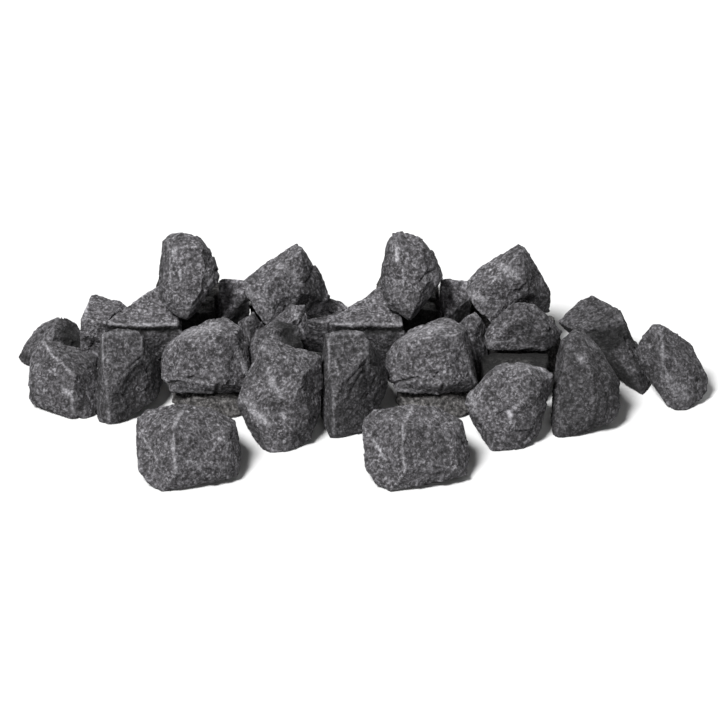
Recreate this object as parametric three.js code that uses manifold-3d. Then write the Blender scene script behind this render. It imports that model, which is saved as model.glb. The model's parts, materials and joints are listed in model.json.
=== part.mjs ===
// A heap of rough-split basalt stones, as used on sauna and spa heaters and for heat treatments.
//
// Every stone is a loose piece of crushed rock: a convex lump bounded by the flat faces that the
// crusher split it along.  Nothing holds the stones but their weight.  The bottom ones stand on the
// ground on a flat face, and the others lie on them.
//
// Frame: millimetres, +Z up, ground at Z = 0, +X along the heap, +Y from its front to its back.
// The heap is made of two like clusters side by side, with a few stones of their own between and
// beside them.

import * as THREE from "three";
import { ConvexGeometry } from "three/addons/geometries/ConvexGeometry.js";
import { mergeVertices } from "three/addons/utils/BufferGeometryUtils.js";
import Module from "manifold-3d";

const wasm = await Module();
wasm.setup();

// ---- Driving dimensions ----

const LEAN = THREE.MathUtils.degToRad(30); // how far the heap's front leans back from upright
const CLUSTER_SPACING = 224; // from a stone of the left cluster to its like in the right one
const GROUND_REACH = 2000; // the block of ground that flattens the bottom stones
const GROUND_DEPTH = 400;

const SPLIT_COLOUR = 0x55555a; // the outer stones, split clean
const DUSTY_COLOUR = 0x3c3a3a; // the stones inside the heap, under their own dust

// ---- The stones ----
//
// A stone is the solid between its corners.  Each corner is [across, up, back] in millimetres from
// the stone's foot, along axes that lean back with the heap's front.  The corners go round the rim
// first, then over the front, then over the back.

const stones = {};

// The squat four-square stone at the very front, with an upright ridge down its face.
stones.front = [
  [-25, 1, 0], [-37, 9, 6], [-47, 22, 8], [-51, 50, 18], [-49, 71, 24], [-40, 81, 26],
  [-5, 86, 22], [22, 83, 26], [47, 70, 28], [53, 38, 24], [50, 18, 14], [44, 14, 10], [10, 8, 3],
  [-13, 66, -6], [-12, 40, -14], [-11, 18, -11], [40, 58, 8], [40, 24, 3],
  [-36, 76, 76], [30, 75, 77], [-40, 52, 92], [40, 52, 92], [-44, 40, 70], [46, 38, 68],
];

// The broad stone in the middle of a cluster: one big face, and a lighter top face above it.
stones.middle = [
  [-33, 0, 6], [-43, 14, 12], [-44, 30, 16], [-41, 42, 18], [-33, 52, 18], [8, 73, 24],
  [17, 75, 24], [25, 72, 22], [38, 64, 16], [38, 44, 8], [42, 24, 8], [48, 6, 14], [44, 2, 16],
  [10, -2, 6],
  [-20, 52, -2], [10, 56, -6], [30, 58, 0], [-30, 12, -2], [20, 8, -6],
  [-20, 62, 48], [20, 68, 44], [30, 20, 34], [20, 34, 56], [-25, 34, 54], [-25, 14, 24],
];

// The low flat stone that the middle stone lies on.
stones.footing = [
  [-32, 22, 30], [-33, 33, 24], [41, 13, 14], [43, 27, 26], [31, 8, 12], [0, 4, 2],
  [-20, 34, 20], [20, 34, 16],
  [-25, 60, 62], [35, 58, 58], [-28, 44, 84], [34, 42, 80],
];

// The tall stone that stands on the slab and makes the first peak.
stones.peak = [
  [0, 0, 0], [-24, 14, 10], [-28, 22, 14], [-28, 45, 16], [-26, 60, 16], [-24, 79, 18],
  [-16, 86, 18], [-7, 89, 16], [4, 86, 16], [14, 81, 18], [24, 70, 20], [29, 56, 20],
  [33, 45, 20], [30, 37, 14], [19, 24, 8], [8, 8, 2],
  [-17, 78, 2], [-16, 20, -2], [14, 72, 2], [20, 44, 0], [4, 10, -6],
  [-18, 62, 44], [16, 60, 44], [-14, 32, 44], [10, 12, 50], [0, 14, 24],
];

// The slab behind: a sloping top that ends in a straight ledge, with an undercut face below it.
stones.slab = [
  [-46, 4, 6], [-20, 0, 0], [28, 2, 0], [33, -8, 6], [-22, 15, 20], [-10, 29, 34], [8, 43, 48],
  [18, 42, 46], [25, -25, 18], [-30, -50, 34], [20, -48, 38],
  [-10, -22, 84], [16, -20, 86], [-8, 28, 60], [12, 36, 60],
];

// The upright block beside the slab.
stones.block = [
  [-10, 48, -26], [12, 46, -24], [0, 69, 6], [6, 70, 8], [28, 63, 6], [36, 55, 2], [32, 20, 4],
  [-10, 0, 0], [12, -2, -2],
  [-6, 30, 52], [26, 28, 48], [0, 66, 22], [24, 60, 20],
];

// The wedge with a sharp upright edge, a light upper face and a dark undercut lower one.
stones.wedge = [
  [0, 0, 0], [-8, 3, 3], [-11, 7, 4], [-12, 26, 8], [-11, 44, 8], [-9, 66, 6], [-7, 87, 4],
  [10, 93, 0], [29, 92, 4], [34, 86, 0], [41, 74, 16], [52, 54, 22], [53, 42, 24], [47, 27, 18],
  [38, 18, 10], [20, 9, 4], [8, 1, 0],
  [-5, 89, -3], [-4, 54, -10], [0, 35, -14], [1, 22, -12], [34, 85, 2], [34, 68, -8], [24, 56, -13],
  [9, 42, -17], [2, 28, -16],
  [-4, 74, 64], [34, 72, 62], [-8, 38, 72], [40, 40, 74], [4, 86, 24], [26, 86, 24],
];

// The low stone at the heap's left end, in front.
stones.leftToe = [
  [0, 0, 0], [-14, 6, 4], [-32, 13, 10], [-39, 16, 14], [-42, 21, 16], [-41, 33, 18],
  [-40, 62, 22], [-34, 75, 22], [-29, 78, 18], [-2, 71, 30], [8, 67, 34], [24, 60, 28],
  [24, 38, 8], [23, 4, 4], [14, 1, 0],
  [-22, 66, 1], [-12, 53, -6], [4, 40, -14], [0, 28, -14], [3, 9, -8],
  [-32, 56, 70], [-28, 38, 74], [18, 36, 72], [18, 60, 62], [-26, 70, 58],
];

// The small stone behind it.
stones.leftHeel = [
  [0, 1, 0], [-4, 3, 2], [-10, 7, 8], [-14, 13, 14], [-12, 18, 16], [-5, 28, 18], [2, 37, 22],
  [8, 41, 22], [20, 47, 22], [25, 50, 20], [37, 46, 20], [43, 43, 20], [47, 37, 18],
  [49, 28, 14], [49, 18, 10], [45, 6, 8],
  [20, 38, 0], [18, 28, -6], [2, 17, -4],
  [0, 26, 50], [38, 26, 50], [10, 40, 40], [36, 42, 38],
];

// The stone that fills the saddle between the two peaks.
stones.saddle = [
  [0, 0, 0], [-4, 38, 10], [2, 40, 10], [8, 37, 8], [25, 37, 10], [26, 22, 8],
  [-10, -36, 30], [21, -34, 34], [-6, -10, 76], [24, -10, 76], [0, 34, 36], [23, 32, 36],
];

// The second peak, a stone with a pointed gable.
stones.gable = [
  [0, 0, 0], [3, 0, 2], [-11, 19, 2], [-19, 27, 4], [-23, 36, 8], [-22, 44, 12], [-8, 58, 18],
  [14, 73, 20], [30, 82, 18], [36, 79, 16], [42, 70, 20], [52, 55, 26], [61, 37, 30],
  [63, 25, 32], [61, 14, 34],
  [34, 76, 4], [36, 50, 0], [39, 35, 2], [37, 25, 14], [0, 40, -8], [10, 20, -4], [13, 14, 12],
  [-10, 50, 50], [36, 54, 54], [0, 24, 40], [40, 30, 46], [24, 70, 44],
];

// The narrow stone that props the gable stone, beside the middle one.
stones.prop = [
  [4, 0, 0], [12, 12, 8], [15, 24, 12], [13, 44, 12], [14, 59, 10], [8, 69, 4], [2, 76, 0],
  [-8, 71, 0], [-14, 65, 6],
  [0, 40, -8], [-6, 64, -6], [6, 20, -4],
  [-16, 26, 45], [12, 28, 48], [-6, 66, 24], [10, 60, 26],
];

// A low stone that the gable stone and the cap stone rest on.
stones.underlay = [
  [-30, 0, 0], [40, 0, 0], [-30, 34, -10], [40, 32, -8], [-26, 54, 24], [34, 54, 24],
  [-28, 27, 52], [36, 27, 52], [46, 14, 12],
];

// A smaller stone like it, under the chip and the left gable stone.
stones.seat = [
  [-30, 0, 0], [3, 0, 0], [-30, 34, -10], [2, 32, -8], [-26, 54, 24], [0, 54, 24],
  [-28, 27, 52], [2, 27, 52],
];

// A long low stone inside the heap, under the peak.
stones.core = [
  [-18, 0, 0], [15, 0, 0], [-18, 54, -10], [15, 52, -10], [-13, 86, 46], [13, 84, 46],
  [-14, 36, 68], [13, 36, 68],
];

// The stone that closes the heap's back behind a gable stone.
stones.rear = [
  [-26, 0, 0], [27, 0, 0], [-26, 52, -12], [22, 54, -10], [-16, 66, 10], [18, 66, 12],
  [-26, 26, 52], [26, 24, 50], [0, 50, 46],
];

// The stone at the back, behind the core, that the peak stone leans on.
stones.backrest = [
  [-40, 0, 0], [38, 0, 0], [-30, 28, -12], [33, 34, -16], [-14, 70, -31], [16, 70, -31],
  [-12, 74, -4], [14, 73, -4], [-18, 55, 35], [24, 54, 35], [-30, 29, 55], [30, 29, 55],
];

// The low stone between the shoulder stone and the right underlay, seen under the cap stone.
stones.sill = [
  [-30, 0, 0], [30, 0, 0], [-28, 30, -11], [28, 31, -11], [-30, 49, 18], [33, 49, 18],
  [-18, 54, 45], [33, 54, 45], [-20, 32, 60], [33, 32, 60], [-32, 18, 36],
];

// The tall stone in front of the heap's centre.
stones.centreFront = [
  [-8, 1, 0], [8, 0, 0], [14, 3, 2], [24, 7, 4], [34, 13, 8], [38, 24, 12], [42, 36, 16],
  [45, 60, 20], [45, 84, 22], [44, 94, 22], [27, 98, 24], [10, 105, 24], [-6, 111, 22],
  [-10, 111, 20], [-16, 103, 20], [-19, 92, 20], [-20, 76, 18], [-34, 57, 12], [-36, 50, 12],
  [-34, 42, 12], [-26, 22, 10], [-13, 5, 4],
  [4, 98, 8], [16, 86, 0], [26, 74, -6], [20, 56, -10], [-4, 50, -10], [-18, 22, -4],
  [-28, 44, 2], [-8, 90, 6], [20, 20, -6], [30, 30, -2],
  [-14, 90, 44], [34, 80, 46], [-18, 36, 68], [34, 36, 68], [0, 100, 36],
];

// The stone just behind it.
stones.centreInner = [
  [-30, 56, 10], [-21, 71, 14], [-14, 80, 14], [-8, 84, 14], [4, 90, 12], [9, 93, 12],
  [21, 89, 12], [27, 86, 12], [31, 80, 8], [33, 63, 4],
  [4, 81, -6], [2, 71, -10], [-14, 60, -6], [24, 56, -6],
  [-19, 3, 6], [24, 0, 4], [-16, 28, 54], [26, 28, 54], [-6, 72, 34], [22, 72, 34],
  [-28, 40, 14],
];

// A small stone wedged between the centre's inner stone and the gable stone.
stones.chip = [
  [-33, 2, 8], [-33, 10, 8], [-30, 18, 8], [-18, 31, 6], [-6, 41, 4], [9, 41, 6], [10, 6, 5],
  [-30, -4, 8], [-14, 16, -4], [0, 27, -4],
  [-24, 12, 26], [6, 12, 26], [-12, 32, 20], [6, 32, 20],
];

// The tall wedge to the right of the centre.
stones.centreWedge = [
  [-2, 1, 0], [6, 0, 0], [-6, 9, 4], [-11, 19, 6], [-11, 37, 10], [-11, 57, 12], [-10, 77, 12],
  [-7, 99, 10], [10, 106, 4], [29, 105, 8], [42, 86, 18], [52, 68, 24], [53, 54, 24],
  [48, 38, 20], [40, 24, 14], [30, 8, 6], [18, 4, 2],
  [0, 4, -4], [1, 18, -12], [1, 36, -14], [0, 48, -14], [-4, 66, -10], [-5, 101, -3],
  [34, 98, 2], [34, 81, -8], [24, 69, -13], [9, 55, -17], [3, 41, -16],
  [-4, 92, 66], [34, 86, 68], [-8, 46, 84], [38, 46, 86], [8, 98, 28],
];

// The flat stone that lies on the right underlay and leans on the gable stone behind it.
stones.cap = [
  [0, 1, 0], [-15, 1, 2], [-30, -4, 6], [-33, 2, 8], [-33, 10, 8], [-30, 18, 8], [-18, 31, 6],
  [-6, 41, 4], [8, 42, 4], [18, 37, 6], [32, 26, 10], [40, 16, 12], [41, 10, 12], [36, 2, 8],
  [25, -4, 4], [12, -1, 0],
  [5, 27, -6], [26, 14, -4], [-14, 16, -4],
  [-20, 16, 30], [22, 14, 30], [-8, 34, 22], [14, 32, 22],
];

// The rounded stone to the right of the right front stone.
stones.shoulder = [
  [-8, 0, 0], [8, 1, 0], [18, 3, 2], [30, 9, 6], [36, 16, 10], [38, 30, 14], [43, 40, 16],
  [45, 53, 18], [51, 64, 20], [51, 74, 20], [45, 80, 20], [35, 84, 20], [24, 87, 20],
  [0, 87, 20], [-7, 83, 20], [-13, 78, 20], [-22, 65, 18], [-34, 54, 14], [-36, 47, 12],
  [-32, 36, 12], [-28, 26, 10], [-15, 7, 4],
  [-4, 78, 2], [24, 79, 0], [42, 70, 6], [-30, 44, 2], [-16, 20, -4], [0, 40, -8],
  [20, 50, -10], [28, 24, -2], [34, 50, -2], [0, 8, -4],
  [-20, 60, 48], [34, 66, 50], [-18, 32, 60], [34, 32, 60], [10, 78, 44],
];

// The tall stone with one big flat face.
stones.tall = [
  [0, 0, 0], [6, 0, 0], [-4, 3, 4], [-5, 20, 10], [-4, 50, 16], [0, 78, 18], [4, 96, 16],
  [12, 104, 14], [19, 107, 14], [27, 105, 16], [40, 92, 20], [46, 80, 22], [54, 66, 22],
  [62, 56, 20], [63, 42, 16], [62, 32, 12], [56, 17, 6], [48, 12, 4], [34, 7, 2], [20, 3, 0],
  [10, 92, 2], [30, 90, 4], [4, 62, -4], [30, 64, -10], [52, 60, 4], [40, 20, -6],
  [12, 14, -8],
  [4, 80, 48], [34, 80, 50], [4, 29, 56], [50, 30, 58], [56, 50, 50], [20, 94, 36],
];

// The long leaning stone behind it, with a flat top that overhangs its front.
stones.overhang = [
  [0, 0, 0], [5, 2, 6], [9, 12, 14], [4, 28, 20], [-3, 48, 26], [-10, 62, 28], [-16, 74, 28],
  [-22, 86, 30], [-36, 92, 32], [-49, 100, 34], [-62, 94, 34], [-73, 84, 32], [-84, 74, 30],
  [-19, 74, 3], [-43, 68, -2], [-68, 65, 6], [-33, 46, 4], [-4, 28, 4],
  [-21, 14, 24], [-36, 25, 42],
  [-20, 40, 68], [0, 26, 44], [-50, 50, 84], [-70, 62, 70], [-50, 86, 60], [-26, 76, 56],
];

// The stone at the heap's right end.
stones.rightToe = [
  [-4, 0, 0], [6, 0, 0], [12, 4, 2], [20, 11, 8], [27, 20, 14], [28, 32, 20], [20, 50, 22],
  [12, 68, 22], [7, 72, 20], [-7, 74, 14], [-15, 80, 10], [-20, 86, 8], [-26, 86, 8],
  [-34, 77, 10], [-41, 69, 12], [-43, 60, 14], [-38, 44, 14], [-28, 29, 14], [-20, 16, 8],
  [-13, 5, 4],
  [-20, 70, -4], [-18, 54, -10], [-10, 22, -8], [14, 40, 0], [4, 10, -4],
  [-20, 60, 54], [10, 54, 52], [-24, 34, 64], [14, 30, 58], [-14, 76, 34],
];

// ---- Where each stone lies ----

// [name, stone, x, y, z]: the place of the stone's foot.  Stones that stand on the ground have z 0
// or a little less, where the ground has taken more off the stone.
const cluster = [
  ["front_stone", "front", -172, 0, 0],
  ["middle_stone", "middle", -157, 149, 27],
  ["footing_stone", "footing", -157, 130, 0],
  ["peak_stone", "peak", -176, 226, 66],
  ["slab_stone", "slab", -212, 226, 58],
  ["saddle_stone", "saddle", -140, 268, 44],
  ["gable_stone", "gable", -96, 250.4, 46],
  ["core_stone", "core", -166, 252, 0],
  ["rear_stone", "rear", -86, 304, 0],
  ["backrest_stone", "backrest", -180, 340, 0],
];

const single = [
  ["far_left_toe_stone", "leftToe", -290, 144, 0],
  ["far_left_heel_stone", "leftHeel", -332, 244, 0],
  ["left_block_stone", "block", -272, 248, 0],
  ["left_wedge_stone", "wedge", -253, 132, 0],
  ["left_prop_stone", "prop", -111.2, 225, -12],
  ["centre_seat_stone", "seat", -66, 238, 0],
  ["centre_front_stone", "centreFront", -86, 78, 0],
  ["centre_inner_stone", "centreInner", -92, 158, 0],
  ["centre_chip_stone", "chip", -66, 223.3, 38.4],
  ["centre_block_stone", "block", -48, 277, -17],
  ["centre_wedge_stone", "centreWedge", -29, 106, 0],
  ["right_prop_stone", "prop", 112, 211, -4],
  ["right_sill_stone", "sill", 152, 164, 0],
  ["right_underlay_stone", "underlay", 158, 238, 0],
  ["right_cap_stone", "cap", 158, 223.4, 38.3],
  ["right_shoulder_stone", "shoulder", 138, 80, 0],
  ["right_tall_stone", "tall", 194, 106, 0],
  ["far_right_overhang_stone", "overhang", 281, 190, 0],
  ["far_right_toe_stone", "rightToe", 318, 158, 0],
];

const places = [
  ...cluster.map(([name, ...rest]) => ["left_" + name, ...rest]),
  ...cluster.map(([name, stone, x, y, z]) => ["right_" + name, stone, x + CLUSTER_SPACING, y, z]),
  ...single,
];

// ---- Making the solids ----

// A closed geometry as a solid that can be cut.
function solidOf(geometry) {
  const bare = geometry.clone();
  bare.deleteAttribute("normal");
  bare.deleteAttribute("uv");
  const merged = mergeVertices(bare, 1e-3);
  return new wasm.Manifold(
    new wasm.Mesh({
      numProp: 3,
      vertProperties: new Float32Array(merged.attributes.position.array),
      triVerts: new Uint32Array(merged.index.array),
    }),
  );
}

function geometryOf(solid) {
  const { vertProperties, triVerts } = solid.getMesh();
  return new THREE.BufferGeometry()
    .setAttribute("position", new THREE.BufferAttribute(vertProperties, 3))
    .setIndex(new THREE.BufferAttribute(triVerts, 1));
}

// The lump of rock between a stone's corners.
function lump(corners) {
  const points = corners.map(([across, up, back]) => new THREE.Vector3(across, back, up));
  return new ConvexGeometry(points);
}

// The ground, seen from a mesh's own frame.
function groundFor(mesh) {
  mesh.updateMatrix();
  return new THREE.BoxGeometry(GROUND_REACH, GROUND_REACH, GROUND_DEPTH)
    .translate(0, 0, -GROUND_DEPTH / 2)
    .applyMatrix4(mesh.matrix.clone().invert());
}

const inside = ["footing", "core", "rear", "backrest", "sill", "underlay", "seat"];

// Basalt is matt, and the dusty stones are the mattest.
function rock(stone) {
  const dusty = inside.includes(stone);
  return new THREE.MeshStandardMaterial({
    color: dusty ? DUSTY_COLOUR : SPLIT_COLOUR,
    roughness: dusty ? 0.95 : 0.9,
    metalness: 0,
  });
}

const heap = new THREE.Group();

for (const [name, stone, x, y, z] of places) {
  const mesh = new THREE.Mesh(lump(stones[stone]), rock(stone));
  mesh.name = name;
  mesh.position.set(x, y, z);
  mesh.rotation.x = -LEAN;
  mesh.geometry = geometryOf(solidOf(mesh.geometry).subtract(solidOf(groundFor(mesh))));
  heap.add(mesh);
}

// The origin is the middle of the heap's footprint, on the ground.
const box = new THREE.Box3().setFromObject(heap, true);
const middle = box.getCenter(new THREE.Vector3());
heap.position.set(-middle.x, -middle.y, -box.min.z);

export default heap;
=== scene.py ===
# A heap of rough-split basalt stones for a sauna or spa heater.  Metres, +Z up.

import json
import math
from itertools import product

import bpy
import numpy as np
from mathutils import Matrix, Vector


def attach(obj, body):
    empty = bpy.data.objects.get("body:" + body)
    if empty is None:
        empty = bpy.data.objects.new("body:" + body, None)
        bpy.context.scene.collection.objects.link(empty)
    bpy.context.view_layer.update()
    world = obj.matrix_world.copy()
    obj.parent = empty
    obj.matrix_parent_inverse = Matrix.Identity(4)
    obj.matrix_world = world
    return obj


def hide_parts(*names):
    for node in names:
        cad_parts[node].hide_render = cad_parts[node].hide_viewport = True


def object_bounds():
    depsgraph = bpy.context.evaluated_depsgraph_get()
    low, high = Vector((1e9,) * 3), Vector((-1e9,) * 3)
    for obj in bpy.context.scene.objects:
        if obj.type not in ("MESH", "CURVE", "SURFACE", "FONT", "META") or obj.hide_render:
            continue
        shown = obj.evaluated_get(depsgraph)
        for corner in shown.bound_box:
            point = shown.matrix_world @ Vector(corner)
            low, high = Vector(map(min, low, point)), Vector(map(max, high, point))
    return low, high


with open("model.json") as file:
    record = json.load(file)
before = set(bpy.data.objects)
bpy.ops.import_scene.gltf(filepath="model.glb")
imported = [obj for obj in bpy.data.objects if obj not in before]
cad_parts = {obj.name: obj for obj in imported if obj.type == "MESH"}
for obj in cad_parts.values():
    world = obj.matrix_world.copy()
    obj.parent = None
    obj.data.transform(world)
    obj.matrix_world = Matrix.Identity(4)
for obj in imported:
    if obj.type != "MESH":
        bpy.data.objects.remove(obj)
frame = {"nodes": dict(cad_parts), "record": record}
cad_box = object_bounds()

# ---- The camera ----
#
# It looks straight at the heap's long side, thirty degrees down, through a long lens, so that
# near and far stones keep the same size.

LEAN = math.radians(30)  # the view's slope, and the slope that the heap's front lies back at
ACROSS = np.array([1.0, 0.0, 0.0])
UP = np.array([0.0, math.sin(LEAN), math.cos(LEAN)])  # up the heap's leaning front
BACK = np.array([0.0, math.cos(LEAN), -math.sin(LEAN)])  # away from the camera, into the heap

CAMERA_DISTANCE = 7.2
VIEW_WIDTH = 0.72
AIM_ASIDE, AIM_BELOW = -0.002, -0.0288  # where the picture's middle is, from the heap's middle

heap_middle = (np.array(cad_box[0]) + np.array(cad_box[1])) / 2
aim = heap_middle + AIM_ASIDE * ACROSS + AIM_BELOW * UP
camera_data = bpy.data.cameras.new("camera")
camera_data.sensor_width = 36
camera_data.lens = camera_data.sensor_width * CAMERA_DISTANCE / VIEW_WIDTH
camera_data.clip_end = 400
camera = bpy.data.objects.new("camera", camera_data)
camera.location = aim - CAMERA_DISTANCE * BACK
camera.rotation_euler = (math.pi / 2 - LEAN, 0, 0)
bpy.context.scene.collection.objects.link(camera)
bpy.context.scene.camera = camera
bpy.context.scene.view_settings.view_transform = "Standard"

# ---- The stones inside the heap ----
#
# Nine pieces that carry the others and hardly show from the front.  They are split basalt too,
# dulled by the dust that settles in the heap: darker, a little browner, with fewer pale grains.
# The cores, the rear stones and the sill are painted darker still, as painted shade for the deep
# hollows that they fill.

MM = 0.001
GRAZING = 0.02  # a face nearly along the line of sight, which that line is taken not to meet
FAR = 1.0  # metres, beyond any stone's surface
TILTED_CHIPS, TURNED_CHIPS, CHIP_TILT = 6, 5, 0.12
TONE_LIMIT = 2  # the most that a stone's tone is lighter or darker


def ball_grid(steps):
    """Directions all round a point, and the four-sided faces between them.

    Each side of a cube carries a grid of two parameters u, v in -1..1.  A grid point is pushed
    to tan(45 degrees * u), tan(45 degrees * v) on its side, which spaces the directions evenly,
    and then made a unit vector.  Points that two sides share are welded.
    """
    u, v = np.meshgrid(np.arange(steps + 1), np.arange(steps + 1), indexing="ij")
    points, quads = [], []
    corner = (np.arange(steps)[:, None] * (steps + 1) + np.arange(steps)).ravel()
    ring = np.stack([corner, corner + steps + 1, corner + steps + 2, corner + 1], axis=1)
    for axis, side in product(range(3), (0, steps)):
        grid = np.empty(u.shape + (3,), int)
        grid[..., axis] = side
        grid[..., (axis + 1) % 3] = u
        grid[..., (axis + 2) % 3] = v
        quads.append((ring if side else ring[:, ::-1]) + len(points) * u.size)
        points.append(grid.reshape(-1, 3))
    shared, place = np.unique(np.concatenate(points), axis=0, return_inverse=True)
    cube = np.tan((shared / steps * 2 - 1) * math.pi / 4)
    directions = cube / np.linalg.norm(cube, axis=1, keepdims=True)
    return directions, place.ravel()[np.concatenate(quads)]


def scatter(cells, seed, count):
    """Repeatable random numbers in -1..1, count of them for each row of whole numbers."""
    x, y, z = cells.T
    mixed = (x * 374761393 + y * 668265263 + z * 1103515245 + seed * 974634777) & 0xFFFFFFFF
    numbers = []
    for _ in range(count):
        mixed = ((mixed ^ (mixed >> 13)) * 1274126177 + 12345) & 0xFFFFFFFF
        numbers.append(((mixed ^ (mixed >> 16)) & 0xFFFF) / 32767.5 - 1)
    return numbers


def noise(points, seed):
    """Smooth noise in -1..1: a random value at each corner of the unit cubes, blended inside
    each cube by 6t^5 - 15t^4 + 10t^3 along the three axes."""
    cell = np.floor(points).astype(np.int64)
    t = points - cell
    t = t * t * t * (t * (6 * t - 15) + 10)
    total = np.zeros(len(points))
    for corner in product((0, 1), repeat=3):
        total += scatter(cell + corner, seed, 1)[0] * np.prod(np.where(corner, t, 1 - t), axis=1)
    return total


def rough(points, size, seed, octaves=3, keep=0.5):
    """A sum of noises, each of half the size and of keep times the height of the one before."""
    total = sum(keep**k * noise(points / size * 2**k + 7.3 * k, seed + k) for k in range(octaves))
    return total / sum(keep**k for k in range(octaves))


def plates(points, size, seed):
    """The height of a surface that broke along many small planes, in about -1..1.

    A centre is scattered in each cube of the given size.  A point belongs to the nearest one,
    and its height is t . (point - centre) / size, where t is that plate's own tilt.
    """
    place = points / size
    cell = np.floor(place).astype(np.int64)
    nearest = np.full(len(points), 9.0)
    height = np.zeros(len(points))
    for step in product((-1, 0, 1), repeat=3):
        numbers = np.stack(scatter(cell + step, seed, 6), axis=1)
        away = place - cell - step - 0.5 - 0.5 * numbers[:, :3]
        distance = (away**2).sum(axis=1)
        closer = distance < nearest
        nearest = np.where(closer, distance, nearest)
        height = np.where(closer, (away * numbers[:, 3:]).sum(axis=1), height)
    return height


def split_faces(node):
    """The flat faces of a stone's frame solid: unit normals, a point on each, and all corners."""
    mesh = frame["nodes"][node].data
    corners = np.empty(len(mesh.vertices) * 3)
    mesh.vertices.foreach_get("co", corners)
    corners = corners.reshape(-1, 3)
    mesh.calc_loop_triangles()
    index = np.empty(len(mesh.loop_triangles) * 3, int)
    mesh.loop_triangles.foreach_get("vertices", index)
    tri = corners[index.reshape(-1, 3)]
    normals = np.cross(tri[:, 1] - tri[:, 0], tri[:, 2] - tri[:, 0])
    area = np.linalg.norm(normals, axis=1)
    middle = (tri.mean(axis=1) * area[:, None]).sum(axis=0) / area.sum()
    big = area > 1e-8
    normals, tri = normals[big] / area[big, None], tri[big]
    _, first = np.unique(np.round(normals, 3), axis=0, return_index=True)
    return normals[first], tri[first, 0], corners, middle


def near_line(points, start, end, wide, wander, seed):
    """1 on the line between two points, falling to 0 as exp(-(distance / width)^2), with the
    distance disturbed by noise so that the line wanders.  Depth into the heap counts little, so
    that the line stays on the surface however rough that is."""
    SHALLOW = 0.15
    squash = np.eye(3) - (1 - SHALLOW) * np.outer(BACK, BACK)
    along, away = (end - start) @ squash, (points - start) @ squash
    t = np.clip(away @ along / max(along @ along, 1e-9), 0, 1)
    distance = np.linalg.norm(away - t[:, None] * along, axis=1)
    distance += wander * MM * rough(points, 9 * MM, seed, 2)
    return np.exp(-((distance / (wide * MM)) ** 2))


def body_of(node):
    """The body that a node belongs to."""
    bodies = frame["record"]["behaviour"]["bodies"]
    return next(body for body, nodes in bodies.items() if node in nodes)


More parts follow.
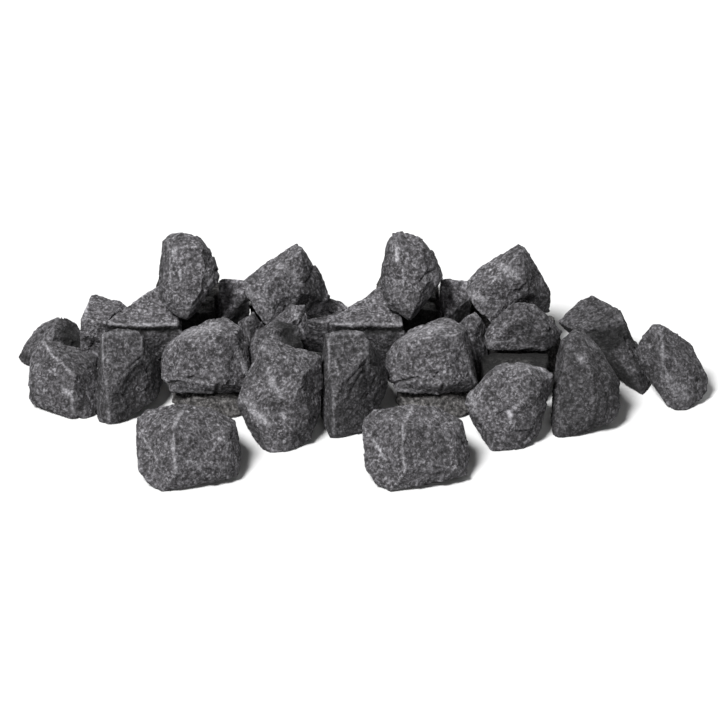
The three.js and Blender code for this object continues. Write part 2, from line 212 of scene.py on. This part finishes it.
def stone(
    node, seed, material, shade=0.0, steps=60, grow=0.5, chipped=0.7,
    pale=(), cracks=(), scars=(), painted_light_patches=(),
):
    """A stone's surface as a distance r from its middle, for each direction d of a ball grid.

    Each flat face gives r = h / (n . d), with n its normal and h its distance from the middle.
    The least of these is the split stone.  It is taken softly, as -s log(sum(exp(-r / s))), so
    that the arrises are blunted over a length s.  Chips are further faces: some turned a few
    degrees from a flat face, and some turned anywhere, which blunt corners.  A scar is a ball
    that bites a shallow dish: the ray stops where it enters the ball.  The rest is added to r:
    plates, waves and grain for the broken surface, ragged arrises, and grooves for cracks.

    Places on a stone are (across, up) in half widths, as seen from straight before the heap's
    leaning front.  pale, cracks and patches hold (start, end, width, strength), where a crack's
    strength is its depth and a patch's is how much lighter or darker it is.  A crack's groove is
    painted darker too, as painted shade.  The patches are painted light and painted shade: most
    darken hollows, undercuts and faces turned from the light, and a few lighten lit faces.  Faces
    that look up are painted lighter and faces that look down darker.  scars hold (place, width,
    depth).  shade is how much lighter or darker the whole stone is; for the stones that fill the
    deep hollows it is painted shade, and for the saddles and slabs painted light.  grow makes up
    for what the rounding takes off, and chipped is how deep the chips go.  Lengths are in mm.
    """
    draw = np.random.default_rng(seed)
    normals, on_face, corners, middle = split_faces(node)
    axes = np.stack([ACROSS, UP, BACK])
    spans = corners @ axes.T
    half, centre = np.ptp(spans, axis=0) / 2, (spans.max(axis=0) + spans.min(axis=0)) / 2
    directions, quads = ball_grid(steps)

    def reach(face_normals, heights):
        facing = directions @ face_normals.T
        return np.where(facing > GRAZING, heights / np.maximum(facing, GRAZING), FAR)

    def spot(place):
        """The point of the stone's front at a place, and the normal there."""
        start = (centre + np.array([*place, -3.0]) * half) @ axes
        slope = normals @ BACK
        meets = slope < -GRAZING
        depth = ((on_face - start) * normals).sum(axis=1) / np.where(meets, slope, 1.0)
        depth = np.where(meets, depth, 0)
        return start + depth.max() * BACK, normals[depth.argmax()]

    heights = ((on_face - middle) * normals).sum(axis=1) + grow * MM
    main = reach(normals, heights)
    tilted = normals[draw.integers(len(normals), size=TILTED_CHIPS)]
    tilted = tilted + draw.normal(size=(TILTED_CHIPS, 3)) * CHIP_TILT
    chip_normals = np.concatenate([tilted, draw.normal(size=(TURNED_CHIPS, 3))])
    chip_normals /= np.linalg.norm(chip_normals, axis=1, keepdims=True)
    chip_depth = draw.gamma(1.5, chipped * MM, len(chip_normals)) - grow * MM
    chip_heights = ((corners - middle) @ chip_normals.T).max(axis=0) - chip_depth
    every = np.concatenate([main, reach(chip_normals, chip_heights)], axis=1)
    soft = 0.3 * MM
    least = every.min(axis=1)
    r = least - soft * np.log(np.exp((least[:, None] - every) / soft).sum(axis=1))

    bite = np.zeros(len(r))
    random_scars = [
        (draw.uniform(-0.8, 0.8, 2), draw.uniform(7, 18), draw.uniform(0.5, 1.6)) for _ in range(4)
    ]
    for place, wide, deep in list(scars) + random_scars:
        point, normal = spot(place)
        ball = (wide**2 + deep**2) / (2 * deep) * MM
        to_ball = point + normal * (ball - deep * MM) - middle
        along = directions @ to_ball
        inside = along**2 - to_ball @ to_ball + ball**2
        enters = np.where(inside > 0, along - np.sqrt(np.maximum(inside, 0)), FAR)
        bite = np.maximum(bite, r - np.where(enters > 0, enters, FAR))
    r = r - np.maximum(bite, 0)

    # The nearest arris is about (r2 - r1) / |n2 - n1| away, from the two lowest faces there.
    row = np.arange(len(r))
    first, second = np.argpartition(every, 1, axis=1)[:, :2].T
    every_normal = np.concatenate([normals, chip_normals])
    turn = np.linalg.norm(every_normal[first] - every_normal[second], axis=1)
    arris = (every[row, second] - every[row, first]) / np.maximum(turn, 0.05)
    keen = np.clip((turn - 0.25) / 0.5, 0, 1)
    points = middle + r[:, None] * directions
    grain = rough(points, 5 * MM, seed + 20, 3, 0.75)
    waves = rough(points, 26 * MM, seed, 3)
    bent = points + 1.5 * MM * grain[:, None] + 4 * MM * waves[:, None]
    broken = 1.9 * plates(bent, 21 * MM, seed + 5) + 0.6 * plates(bent, 8 * MM, seed + 6)
    ragged = np.clip(rough(points, 6 * MM, seed + 9, 2), -0.2, 1)
    ragged = ragged * keen * np.exp(-arris / (2 * MM))
    r = r + MM * (broken + 0.3 * waves + 0.5 * grain - 1.6 * ragged)

    bruise, tone = np.zeros(len(r)), shade + 0.25 * waves
    for n, (start, end, wide, deep) in enumerate(cracks):
        groove = near_line(points, spot(start)[0], spot(end)[0], wide, 1.6, seed + 30 + n)
        r = r - deep * MM * groove
        # The groove is painted darker as well: painted shade in the crack.
        tone = tone * (1 - groove) - 1.4 * groove
    for n, (start, end, wide, strength) in enumerate(pale):
        patchy = 0.75 + 0.6 * rough(points, 7 * MM, seed + 70 + n, 2)
        line = near_line(points, spot(start)[0], spot(end)[0], wide, 1.3, seed + 50 + n)
        bruise = bruise + strength * line * patchy
    # Patches paint light and shade onto the stone.
    for n, (start, end, wide, change) in enumerate(painted_light_patches):
        patch = near_line(points, spot(start)[0], spot(end)[0], wide, 3.0, seed + 90 + n)
        tone = tone + change * patch

    patchy = np.clip(0.35 + rough(points, 11 * MM, seed + 50, 3), 0, 1)
    bruise = bruise + 0.8 * keen * np.exp(-arris / (1.1 * MM)) * patchy
    # Faces that look up are painted lighter and faces that look down darker: painted light and
    # painted shade.  Each face also gets a random tone of its own.
    lit_tops_and_face_tone = 0.35 * normals[:, 2] + 0.2 * draw.uniform(-1, 1, len(normals))
    tone = tone + lit_tops_and_face_tone[main.argmin(axis=1)]

    points = middle + r[:, None] * directions
    points[:, 2] = np.maximum(points[:, 2], 0)
    name = node.replace("_stone", "_rock")
    mesh = bpy.data.meshes.new(name)
    mesh.from_pydata(points, [], quads)
    mesh.shade_smooth()
    bruise, tone = np.clip(bruise, 0, 1), np.clip(tone, -TONE_LIMIT, TONE_LIMIT)
    # The tone attribute holds each stone's own tone together with painted light and painted shade.
    for title, values in (("bruise", bruise), ("tone", tone)):
        mesh.attributes.new(title, "FLOAT", "POINT").data.foreach_set("value", values)
    mesh.materials.append(material)
    rock = bpy.data.objects.new(name, mesh)
    bpy.context.scene.collection.objects.link(rock)
    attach(rock, body_of(node))
    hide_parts(node)


def basalt(name, dark, body, pale, flecks):
    """Fine-grained basalt: dark ground, mid-grey grains of one to three millimetres, and pale
    crystals, with the split arrises bruised paler.  Colours are linear."""
    material = bpy.data.materials.new(name + "_finish")
    material.use_nodes = True
    nodes, links = material.node_tree.nodes, material.node_tree.links
    shader = nodes["Principled BSDF"]
    shader.inputs["Specular IOR Level"].default_value = 0.3
    place = nodes.new("ShaderNodeTexCoord").outputs["Object"]

    def wire(source, target):
        links.new(source, target)

    def noise_of(scale, detail, roughness=0.6):
        node = nodes.new("ShaderNodeTexNoise")
        wire(place, node.inputs["Vector"])
        node.inputs["Scale"].default_value = scale
        node.inputs["Detail"].default_value = detail
        node.inputs["Roughness"].default_value = roughness
        return node.outputs["Fac"]

    def spread(value, low, high, to_low=0.0, to_high=1.0):
        node = nodes.new("ShaderNodeMapRange")
        wire(value, node.inputs["Value"])
        titles = ("From Min", "From Max", "To Min", "To Max")
        for title, number in zip(titles, (low, high, to_low, to_high)):
            node.inputs[title].default_value = number
        return node.outputs["Result"]

    def calc(kind, a, b):
        node = nodes.new("ShaderNodeMath")
        node.operation = kind
        for socket, value in zip(node.inputs, (a, b)):
            if isinstance(value, (int, float)):
                socket.default_value = value
            else:
                wire(value, socket)
        return node.outputs[0]

    def blend(factor, a, b):
        node = nodes.new("ShaderNodeMix")
        node.data_type = "RGBA"
        wire(factor, node.inputs["Factor"])
        for socket, value in ((node.inputs["A"], a), (node.inputs["B"], b)):
            if isinstance(value, tuple):
                socket.default_value = (*value, 1)
            else:
                wire(value, socket)
        return node.outputs["Result"]

    def surface(title):
        node = nodes.new("ShaderNodeAttribute")
        node.attribute_name = title
        return node.outputs["Fac"]

    grit, grains, clusters = noise_of(400, 2, 0.6), noise_of(200, 3, 0.7), noise_of(75, 3)
    ground = blend(spread(grains, 0.36, 0.64), dark, body)
    crystals = spread(calc("ADD", grit, calc("MULTIPLY", grains, 0.5)), 0.76, 0.98)
    clustered = calc("MULTIPLY", crystals, spread(clusters, 0.35, 0.65, 0.3 * flecks, flecks))
    speckled = blend(clustered, ground, pale)
    large = nodes.new("ShaderNodeTexVoronoi")
    wire(place, large.inputs["Vector"])
    large.inputs["Scale"].default_value = 170
    chosen = nodes.new("ShaderNodeSeparateColor")
    wire(large.outputs["Color"], chosen.inputs["Color"])
    few = spread(chosen.outputs["Red"], 0.9, 0.93)
    core = spread(large.outputs["Distance"], 0.34, 0.2)
    speckled = blend(calc("MULTIPLY", calc("MULTIPLY", few, core), flecks), speckled, pale)
    worn = calc("MULTIPLY", surface("bruise"), spread(noise_of(400, 3, 0.7), 0.36, 0.6, 0.35, 1.0))
    bruised = blend(worn, speckled, pale)
    mottle = spread(noise_of(50, 3), 0.3, 0.7, 0.8, 1.2)
    # The tone attribute, with its painted light and painted shade, scales the colour.
    tone = spread(surface("tone"), -TONE_LIMIT, TONE_LIMIT, 0.1, 1.9)
    level = nodes.new("ShaderNodeVectorMath")
    level.operation = "SCALE"
    wire(bruised, level.inputs[0])
    wire(calc("MULTIPLY", mottle, tone), level.inputs["Scale"])
    wire(level.outputs[0], shader.inputs["Base Color"])
    wire(spread(grains, 0.35, 0.65, 0.95, 0.72), shader.inputs["Roughness"])

    bump = nodes.new("ShaderNodeBump")
    bump.inputs["Distance"].default_value = 1.6 * MM
    bump.inputs["Strength"].default_value = 1.0
    wire(calc("ADD", calc("MULTIPLY", grit, 0.5), grains), bump.inputs["Height"])
    wire(bump.outputs["Normal"], shader.inputs["Normal"])
    return material


dusty_basalt = basalt(
    "dusty_basalt", (0.0061, 0.0057, 0.0055), (0.036, 0.0344, 0.0338), (0.135, 0.13, 0.127), 0.45
)
# The cores' shade of -2.0 and the rear stones' -0.7 are painted shade for the hollows they fill.
for seed, side in enumerate(("left_", "right_")):
    stone(side + "core_stone", 101 + seed, dusty_basalt, -2.0, steps=44, grow=1.6)
    stone(side + "rear_stone", 103 + seed, dusty_basalt, -0.7, steps=56, grow=1.6, chipped=2.6)
    stone(side + "backrest_stone", 105 + seed, dusty_basalt, 0.3, grow=1.8, chipped=2.6)
for seed, name in enumerate(("centre_seat", "right_underlay")):
    stone(name + "_stone", 107 + seed, dusty_basalt, -0.6, steps=44, grow=1.6)
# The sill's shade of -2.1, its crack and its two end patches are painted shade for the dark gaps
# round it.
stone(
    "right_sill_stone", 109, dusty_basalt, -2.1, grow=1.6, chipped=2.0,
    cracks=[((-0.9, 0.75), (0.9, 0.7), 1.6, 2.0)],
    painted_light_patches=[((0.95, 0.9), (0.95, 0.0), 9, -1.5), ((-0.95, 0.9), (-0.95, 0.3), 7, -1.2)],
)

# ---- The footings and the middle stones ----
#
# A flat, dusty piece lies at the foot of each half of the heap, and a broad stone of split
# basalt stands on it.  The broad one's upper edge is bruised pale, and its lower lip is cracked.

split_basalt = basalt(
    "split_basalt", (0.0125, 0.0118, 0.0126), (0.052, 0.050, 0.054), (0.27, 0.265, 0.28), 0.38
)
for seed, side in enumerate(("left_", "right_")):
    stone(
        side + "footing_stone", 121 + seed, dusty_basalt, 1.0,
        painted_light_patches=[((0, 0.3), (0, 0.3), 40, -0.4)],
    )
    stone(
        side + "middle_stone", 131 + seed, split_basalt, 0.25,
        pale=[((-0.8, -0.89), (0.1, -0.97), 1.5, 0.6), ((-0.6, 0.5), (0.2, 0.75), 4.0, 0.5),
              ((0.67, 0.07), (0.93, -0.71), 1.6, 0.5)],
        cracks=[((-0.87, -0.76), (-0.3, -0.58), 1.5, 2.4), ((-0.3, -0.58), (0.05, -0.66), 1.1, 1.2),
                ((0.35, -0.6), (0.2, -0.95), 1.6, 2.0)],
    )

# ---- The slabs and the block ----
#
# A slab with a flat, light top lies behind the front row in each half.  The whole slab is painted
# lighter, as painted light for that top.  Under its top edge runs a ledge where a layer has flaked
# away, and the ledge and the face below it are painted dark, as painted shade.  A narrower block
# leans on the left slab.

for seed, name in enumerate(("left_slab", "right_slab")):
    stone(
        name + "_stone", 141 + seed, split_basalt, 0.9,
        cracks=[((-0.85, -0.02), (0.85, -0.01), 4.2, 4.6)],
        pale=[((-0.9, 0.12), (0.85, 0.12), 1.3, 0.5)],
        painted_light_patches=[((-0.9, -0.4), (0.9, -0.4), 24, -1.5)],
    )
for seed, name in enumerate(("left_block", "centre_block")):
    stone(
        name + "_stone", 145 + seed, split_basalt, 0.7, grow=2.0,
        pale=[((-0.83, 0.8), (-0.9, 0.1), 1.5, 0.5)],
    )

# ---- The saddles, the props and the gables ----
#
# A roof-shaped stone makes the right side of each half's dip.  Its ridge parts a light, flecked
# face from a darker one; painted light lifts the light face a little, and painted shade darkens
# the other.  A narrow stone fills the dip, and another props the gable up.  The narrow one is
# painted lighter all over, as painted light where the peak shades it, and painted shade darkens
# its lower right, a hollow.

for seed, side in enumerate(("left_", "right_")):
    stone(
        side + "saddle_stone", 151 + seed, split_basalt, 1.8,
        painted_light_patches=[((0.7, 0.3), (0.0, -0.5), 9, -3.6)],
    )
    stone(side + "prop_stone", 154 + seed, split_basalt, painted_light_patches=[((0, 0.5), (0, -0.6), 14, -0.5)])
    stone(
        side + "gable_stone", 157 + seed, split_basalt, 0.15,
        pale=[((-0.16, 0.46), (0.19, 0.19), 3.5, 0.45), ((-0.93, -0.2), (-0.56, -0.39), 3.0, 0.5)],
        scars=[((0.48, -0.42), 8, 3.0)],
        painted_light_patches=[((0.65, 0.7), (0.65, -0.3), 17, -0.5), ((-0.4, 0.1), (-0.4, 0.1), 25, 0.2)],
    )

# ---- The peaks ----
#
# A tall stone stands on end at the top of each half.  A bright bruise runs down its upper left
# side, with a fine white vein below, and its foot is undercut.  Painted shade darkens its left
# edge and the undercut foot.

for seed, side in enumerate(("left_", "right_")):
    stone(
        side + "peak_stone", 161 + seed, split_basalt, 0.1,
        pale=[((-0.51, 0.62), (-0.51, 0.34), 1.4, 0.9), ((-0.7, 0.77), (-0.7, 0.61), 1.2, 0.6),
              ((-0.31, 0.12), (-0.28, -0.22), 0.9, 0.9), ((0.6, 0.0), (0.75, -0.2), 3.0, 0.5)],
        painted_light_patches=[((-0.95, 0.5), (-0.95, -0.5), 7, -0.6), ((-0.2, -0.95), (0.1, -0.95), 6, -1.0)],
    )

# ---- The wedges ----
#
# A tall wedge leans on each slab, with its sharp side to the front.  Its arrises are bruised
# pale, its right side lies in its own shade, and two cracks cross the front near the top.

for seed, name in enumerate(("left_wedge", "centre_wedge")):
    stone(
        name + "_stone", 171 + seed, split_basalt, -0.9, grow=1.3,
        pale=[((-0.78, 0.85), (-0.78, 0.2), 1.1, 0.9), ((-0.66, -0.05), (-0.6, -0.94), 1.3, 0.7),
              ((-0.75, 0.91), (0.29, 0.98), 1.6, 0.6), ((0.38, 0.87), (0.42, 0.31), 1.5, 0.7)],
        cracks=[((0.38, 0.44), (-0.2, 0.05), 1.4, 2.4), ((0.26, 0.23), (-0.08, -0.1), 1.0, 1.4)],
    )

# ---- The left end ----
#
# A squat block ends the heap, with a pale ridge across it from the upper left, and its upper right
# is painted a little darker, as painted shade.  A low stone lies behind it, light on its upper left
# and dark elsewhere: painted shade darkens its right side and its lower left.

stone(
    "far_left_toe_stone", 181, split_basalt, -0.2, grow=1.5,
    pale=[((-0.61, 0.95), (-0.3, 0.6), 1.4, 0.5), ((-0.3, 0.6), (0.42, 0.1), 0.9, 0.25),
          ((0.27, -0.4), (0.33, -0.87), 1.6, 0.7), ((0.1, -0.3), (0.35, -0.45), 3.0, 0.6)],
    cracks=[((-0.3, 0.85), (0.4, 0.7), 1.2, 1.0)], painted_light_patches=[((0.7, 0.6), (0.7, 0.6), 16, -0.5)],
)
stone(
    "far_left_heel_stone", 182, split_basalt, grow=2.2,
    painted_light_patches=[((0.6, 0.5), (0.8, 0.0), 13, -2.6), ((-0.8, -0.6), (-0.5, -0.8), 7, -2.0)],
)

# ---- The stones between the halves ----
#
# A tall pointed stone at the front, with a bruised nose, and a chip and a blocky stone behind
# it.  The pointed one's left side is painted a little lighter, as painted light.  The blocky one's
# right side is a hollow, painted dark as painted shade.

stone(
    "centre_front_stone", 191, split_basalt, -0.2,
    pale=[((-0.58, 0.91), (-0.26, 0.78), 2.0, 0.9), ((-0.88, -0.08), (-0.3, -0.5), 4.0, 0.6),
          ((-0.2, 0.3), (0.0, 0.0), 3.0, 0.5), ((0.06, -0.33), (0.1, -0.38), 2.0, 1.0)],
    painted_light_patches=[((-0.5, 0.2), (-0.5, -0.2), 15, 0.3)], grow=1.6,
)
stone("centre_chip_stone", 192, split_basalt, 0.3, painted_light_patches=[((0.4, 0.0), (0.6, -0.7), 7, -0.8)])
stone(
    "centre_inner_stone", 193, split_basalt, -0.6,
    scars=[((0.55, 0.65), 12, 4.0)], painted_light_patches=[((0.45, 0.85), (0.75, 0.4), 9, -2.4)],
)

# ---- The cap, the shoulder and the tall stone ----
#
# A low roof-shaped stone bridges a gap near the right end.  Before it stand a rounded block
# with a pale rim and a tall five-sided one.

# The cap's left is painted lighter and its middle and right darker: painted light and painted
# shade.
stone(
    "right_cap_stone", 201, split_basalt, -0.6, grow=1.5,
    pale=[((-0.95, -0.75), (-0.24, -0.6), 1.4, 0.6), ((-0.05, -0.85), (0.57, -0.95), 1.4, 0.6)],
    painted_light_patches=[((0.1, 0.2), (0.3, -0.6), 10, -0.5), ((-0.6, 0.2), (-0.8, -0.5), 8, 0.6)],
)
stone(
    "right_shoulder_stone", 202, split_basalt, -0.15,
    pale=[((-0.86, 0.66), (-0.4, 0.93), 3.0, 0.6), ((-0.4, 0.93), (0.75, 0.89), 2.5, 0.6),
          ((0.98, 0.61), (0.75, 0.85), 2.0, 0.7), ((-0.01, -0.12), (0.03, -0.2), 1.8, 1.0),
          ((-0.9, 0.4), (-0.8, -0.1), 4.0, 0.5)],
)
stone(
    "right_tall_stone", 203, split_basalt, -1.15,
    pale=[((-0.15, 0.91), (0.5, 0.55), 1.6, 0.5), ((-0.25, 0.5), (-0.15, 0.42), 3.0, 0.7),
          ((-0.47, 0.0), (-0.42, -0.12), 2.0, 0.8)],
)

# ---- The right end ----
#
# One stone leans out over its neighbours, broken across under its upper face, and a last one
# leans against it, with an upright ridge and a pale patch on its face.  Painted shade darkens
# the break and the face under the overhang, and the left side of the last stone where the overhang
# shades it; a small facet on the overhang's right is painted lighter, as painted light.

stone(
    "far_right_overhang_stone", 211, split_basalt, -0.95,
    cracks=[((-0.44, 0.22), (0.35, 0.48), 2.0, 3.2)],
    pale=[((-0.44, 0.27), (0.35, 0.53), 1.2, 0.5)],
    painted_light_patches=[((-0.2, 0.05), (0.4, 0.22), 10, -2.2), ((-0.1, -0.2), (0.5, -0.85), 11, -2.2),
             ((0.75, 0.2), (0.85, -0.4), 6, 0.4)],
)
stone(
    "far_right_toe_stone", 212, split_basalt, -0.4,
    pale=[((-0.32, 0.88), (-0.28, -0.2), 1.4, 0.5), ((-0.1, -0.3), (0.35, -0.7), 7.0, 0.5)],
    painted_light_patches=[((-0.65, 0.5), (-0.65, -0.3), 12, -0.6)],
)

# ---- The two front stones ----
#
# Squat, four-square pieces that stand by themselves at the foot of the heap.  The crusher split
# them along an upright ridge, which is bruised pale, and left a long scratch on the left side.

for seed, side in enumerate(("left_", "right_")):
    stone(
        side + "front_stone", 226 - 2 * seed, split_basalt,
        pale=[((-0.06, 0.93), (-0.25, 0.55), 1.3, 0.55), ((-0.25, 0.55), (-0.27, -0.01), 1.2, 0.6),
              ((-0.27, -0.01), (-0.21, -0.48), 1.2, 0.6), ((-0.92, 0.34), (-0.58, -0.25), 0.8, 0.7),
              ((0.58, 0.22), (0.79, 0.11), 0.9, 0.8), ((0.04, -0.29), (0.62, -0.44), 1.2, 0.5)],
        painted_light_patches=[((-0.8, -0.85), (0.9, -0.75), 9, 0.4)],
    )

# ---- The floor and the light ----
#
# A wide pale floor, flat under the heap and rising gently far off, so that it nearly fills a low
# view.  A soft, high light comes from the upper left, weaker ones from the front and the back,
# and the sky fills the shadows a little.

FLOOR_FLAT, FLOOR_REACH, FLOOR_RISE = 30, 200, 15
FLOOR_GREY = 0.48
SKY_STRENGTH = 0.07

floor_mesh = bpy.data.meshes.new("floor")
square = np.array([(-1, -1), (1, -1), (1, 1), (-1, 1)])
flat = np.column_stack([square * FLOOR_FLAT, np.zeros(4)])
rim = np.column_stack([square * FLOOR_REACH, np.full(4, FLOOR_RISE)])
slopes = [(k, k + 4, (k + 1) % 4 + 4, (k + 1) % 4) for k in range(4)]
floor_mesh.from_pydata(np.concatenate([flat, rim]), [], [(0, 1, 2, 3)] + slopes)
floor = bpy.data.objects.new("floor", floor_mesh)
bpy.context.scene.collection.objects.link(floor)
floor_paint = bpy.data.materials.new("floor_paint")
floor_paint.use_nodes = True
paint = floor_paint.node_tree.nodes["Principled BSDF"]
paint.inputs["Base Color"].default_value = (FLOOR_GREY, FLOOR_GREY, FLOOR_GREY, 1)
paint.inputs["Roughness"].default_value = 0.9
floor_mesh.materials.append(floor_paint)

world = bpy.data.worlds.new("world")
world.use_nodes = True
sky = world.node_tree.nodes["Background"]
sky.inputs["Color"].default_value = (1, 1, 1, 1)
sky.inputs["Strength"].default_value = SKY_STRENGTH
bpy.context.scene.world = world


def far_light(name, comes_from, strength, spread):
    """A light from so far away that it is the same all over the floor, spread over an angle."""
    light = bpy.data.lights.new(name, "SUN")
    light.energy = strength
    light.angle = math.radians(spread)
    lamp = bpy.data.objects.new(name, light)
    x, y, z = np.array(comes_from) / np.linalg.norm(comes_from)
    lamp.rotation_euler = (math.acos(z), 0, math.atan2(x, -y))
    bpy.context.scene.collection.objects.link(lamp)


far_light("key", (-1.2, -1.3, 2.6), 7.8, 20)
far_light("front", (0.3, -2.5, 1.2), 0.5, 40)
far_light("back", (0.9, 2.6, 1.3), 1.5, 40)
